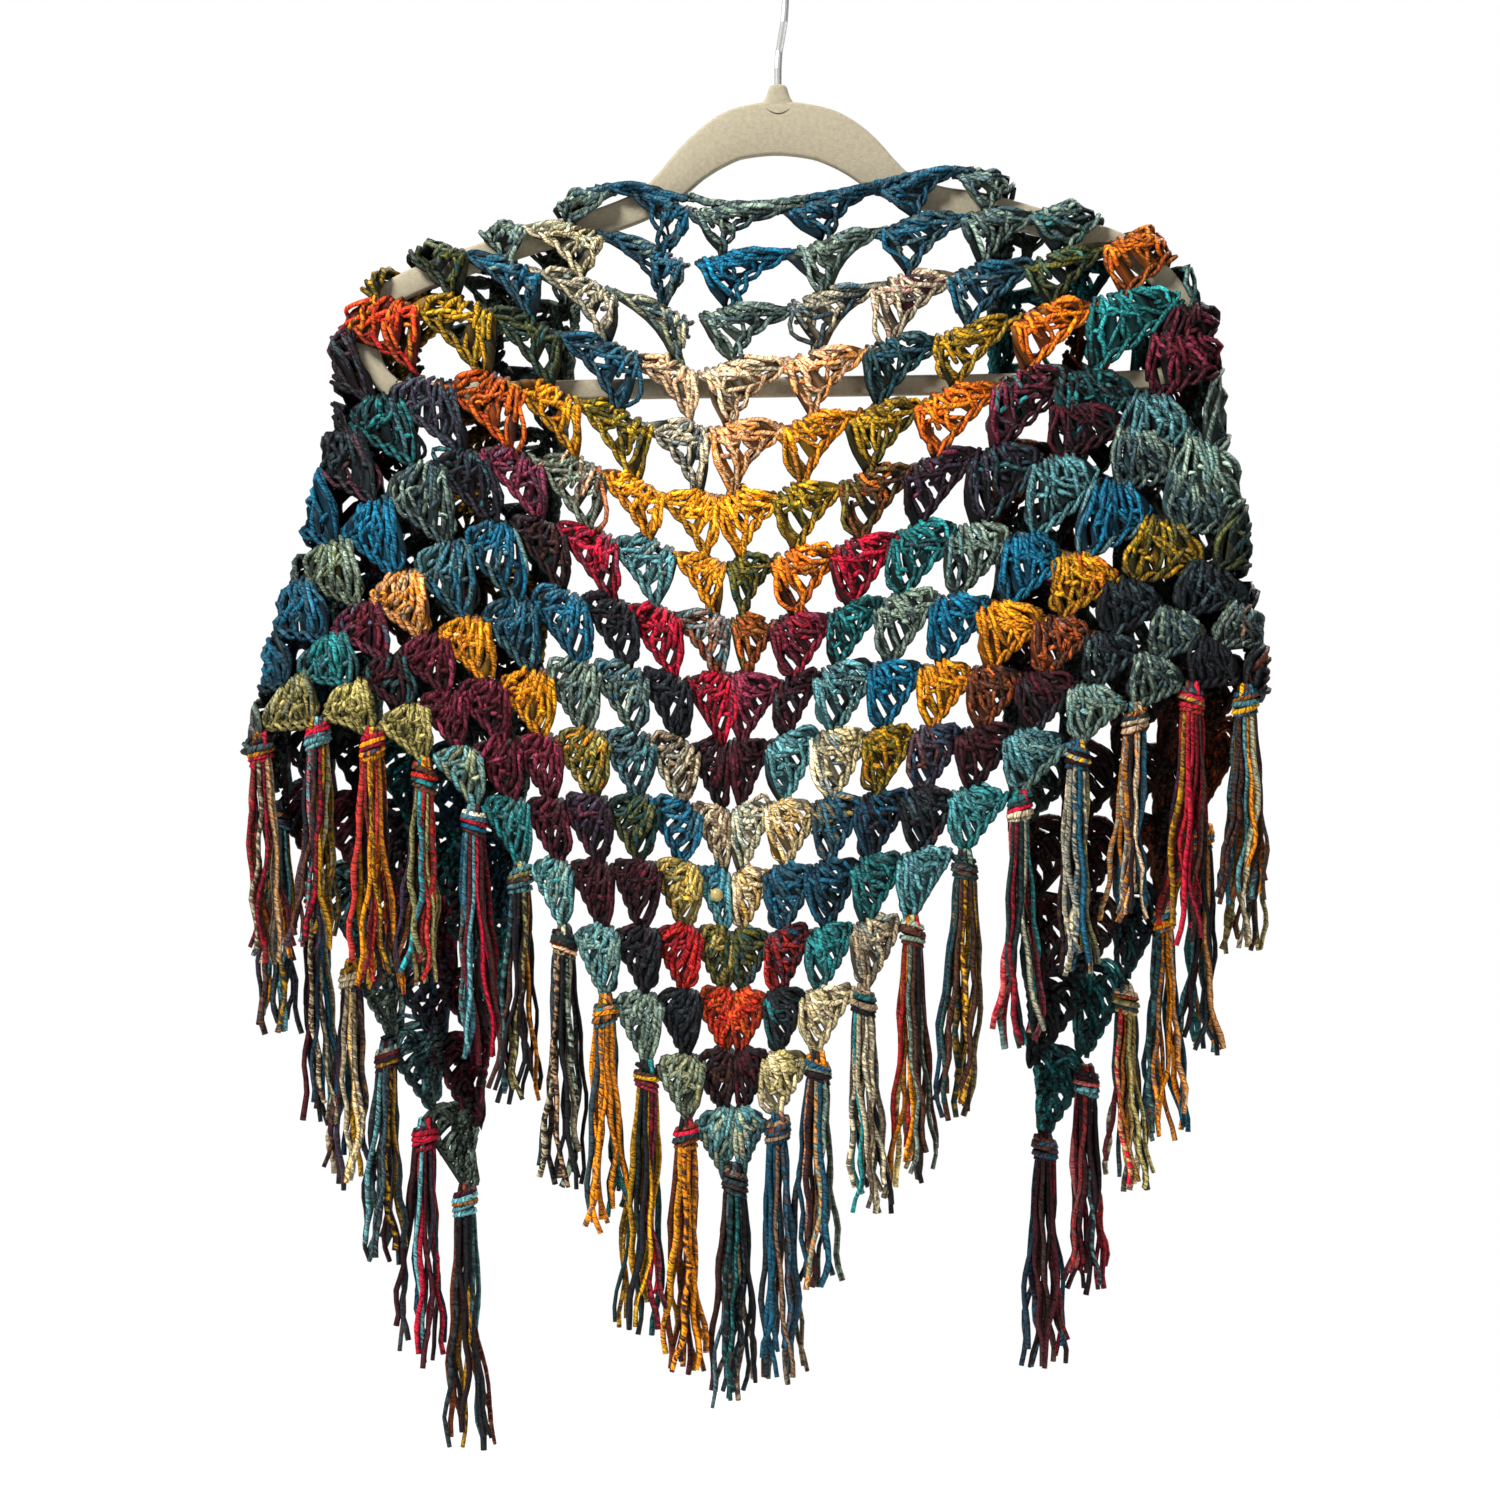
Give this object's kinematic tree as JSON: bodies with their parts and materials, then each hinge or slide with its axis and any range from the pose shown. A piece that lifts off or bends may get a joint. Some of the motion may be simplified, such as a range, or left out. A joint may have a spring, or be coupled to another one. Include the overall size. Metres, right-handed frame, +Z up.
{
  "type": "crochet shawl on a velvet clothes hanger",
  "caption": "Triangular crochet shawl of openwork clusters in many-coloured yarn, with a tasselled edge, hung over a flat velvet hanger with a wire hook.",
  "frame": {"origin": "inside top of the hook, where a rail carries the hanger", "axes": "+Z up, the front of the shawl faces -Y, and the hanger's arms lie along X"},
  "size_m": [0.5396, 0.066, 0.7959],
  "materials": {
    "yarn": "plied yarn dyed in changing colours: teal, blue, gold, orange, maroon, black and sage",
    "velvet": "short cream flock",
    "wire": "polished"
  },
  "bodies": {
    "root": {"hanger": "velvet", "hook": "wire", "shawl_front": "yarn", "tassel_left_01": "yarn", "tassel_left_02": "yarn", "tassel_left_03": "yarn", "tassel_left_04": "yarn", "tassel_left_05": "yarn", "tassel_left_06": "yarn", "tassel_left_07": "yarn", "tassel_left_08": "yarn", "tassel_left_09": "yarn", "tassel_left_10": "yarn", "tassel_left_11": "yarn", "tassel_left_12": "yarn", "tassel_left_13": "yarn", "tassel_left_14": "yarn", "tassel_left_15": "yarn", "tassel_left_16": "yarn", "tassel_point": "yarn", "tassel_right_01": "yarn", "tassel_right_02": "yarn", "tassel_right_03": "yarn", "tassel_right_04": "yarn", "tassel_right_05": "yarn", "tassel_right_06": "yarn", "tassel_right_07": "yarn", "tassel_right_08": "yarn", "tassel_right_09": "yarn", "tassel_right_10": "yarn", "tassel_right_11": "yarn", "tassel_right_12": "yarn", "tassel_right_13": "yarn", "tassel_right_14": "yarn", "tassel_right_15": "yarn", "tassel_right_16": "yarn", "wing_left": "yarn", "wing_right": "yarn"}
  },
  "joints": []
}
